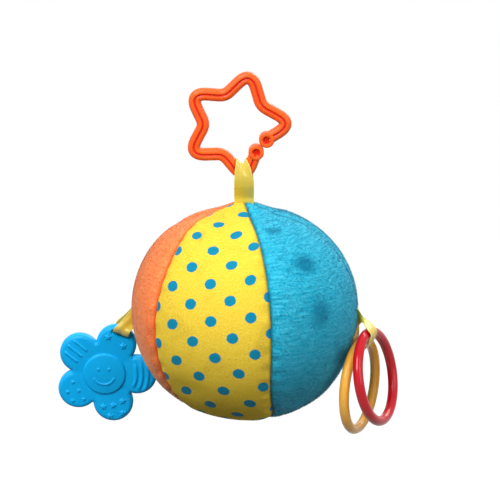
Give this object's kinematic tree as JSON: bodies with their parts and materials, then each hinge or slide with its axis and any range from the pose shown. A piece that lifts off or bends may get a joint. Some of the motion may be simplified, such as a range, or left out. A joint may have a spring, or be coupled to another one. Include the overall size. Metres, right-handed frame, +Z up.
{
  "type": "plush teether ball",
  "caption": "Stuffed gored plush ball hanging by a ribbon from a star-shaped plastic link, with a silicone flower teether and plastic rings on ribbon loops.",
  "frame": {"origin": "the place in the star link's top lobe that rests on what the toy hangs from", "axes": "+Z up, +X to the viewer's right, +Y away from the viewer"},
  "size_m": [0.184, 0.1194, 0.196],
  "materials": {
    "link_plastic": "satin moulded",
    "satin": "satin weave",
    "plush_orange": "short velour",
    "velour_dots": "short velour with printed dots",
    "plush_blue": "plush pile",
    "fill": "loose fibre",
    "rattle_plastic": "moulded",
    "bead_plastic": "polished",
    "silicone": "soft satin",
    "red_plastic": "polished",
    "yellow_plastic": "polished"
  },
  "bodies": {
    "link": {"star_link": "link_plastic"},
    "top_ribbon": {"ribbon_top": "satin"},
    "ball": {"panel_orange": "plush_orange", "panel_dots": "velour_dots", "panel_blue": "plush_blue", "panel_back_orange": "plush_orange", "panel_back_dots": "velour_dots", "panel_back_blue": "plush_blue", "stuffing_upper": "fill", "stuffing_lower": "fill", "rattle_upper": "rattle_plastic", "rattle_lower": "rattle_plastic", "rattle_bead_1": "bead_plastic", "rattle_bead_2": "bead_plastic", "rattle_bead_3": "bead_plastic", "rattle_bead_4": "bead_plastic", "rattle_bead_5": "bead_plastic"},
    "left_ribbon": {"ribbon_left": "satin"},
    "flower": {"flower_teether": "silicone"},
    "right_ribbon": {"ribbon_right": "satin"},
    "red_ring": {"ring_red": "red_plastic"},
    "yellow_ring": {"ring_yellow": "yellow_plastic"}
  },
  "joints": [
    {"name": "top_ribbon_swing", "type": "hinge", "parent": "link", "child": "top_ribbon", "pos_m": [-0.00175, 0, -0.04629], "axis": [1, 0, 0], "range_deg": [-60, 60], "deforming": ["ribbon_top"]},
    {"name": "ball_tilt", "type": "hinge", "parent": "top_ribbon", "child": "ball", "pos_m": [-0.00175, 0, -0.06154], "axis": [1, 0, 0], "range_deg": [-45, 45]},
    {"name": "left_ribbon_fold", "type": "hinge", "parent": "ball", "child": "left_ribbon", "pos_m": [-0.05646, 0.01991, -0.12568], "axis": [0, 0, 1], "range_deg": [-30, 40], "deforming": ["ribbon_left"]},
    {"name": "flower_swing", "type": "hinge", "parent": "left_ribbon", "child": "flower", "pos_m": [-0.06866, 0.01991, -0.13918], "axis": [0.9272, 0, -0.3746], "range_deg": [-15, 45]},
    {"name": "right_ribbon_fold", "type": "hinge", "parent": "ball", "child": "right_ribbon", "pos_m": [0.05639, -0.00611, -0.12274], "axis": [0, 0, 1], "range_deg": [0, 40], "deforming": ["ribbon_right"]},
    {"name": "red_ring_swing", "type": "hinge", "parent": "right_ribbon", "child": "red_ring", "pos_m": [0.06243, -0.01537, -0.12869], "axis": [-0.4067, -0.9135, 0], "range_deg": [-5, 75]},
    {"name": "yellow_ring_swing", "type": "hinge", "parent": "right_ribbon", "child": "yellow_ring", "pos_m": [0.0592, -0.01393, -0.13414], "axis": [-0.4067, -0.9135, 0], "range_deg": [-2, 5]}
  ]
}
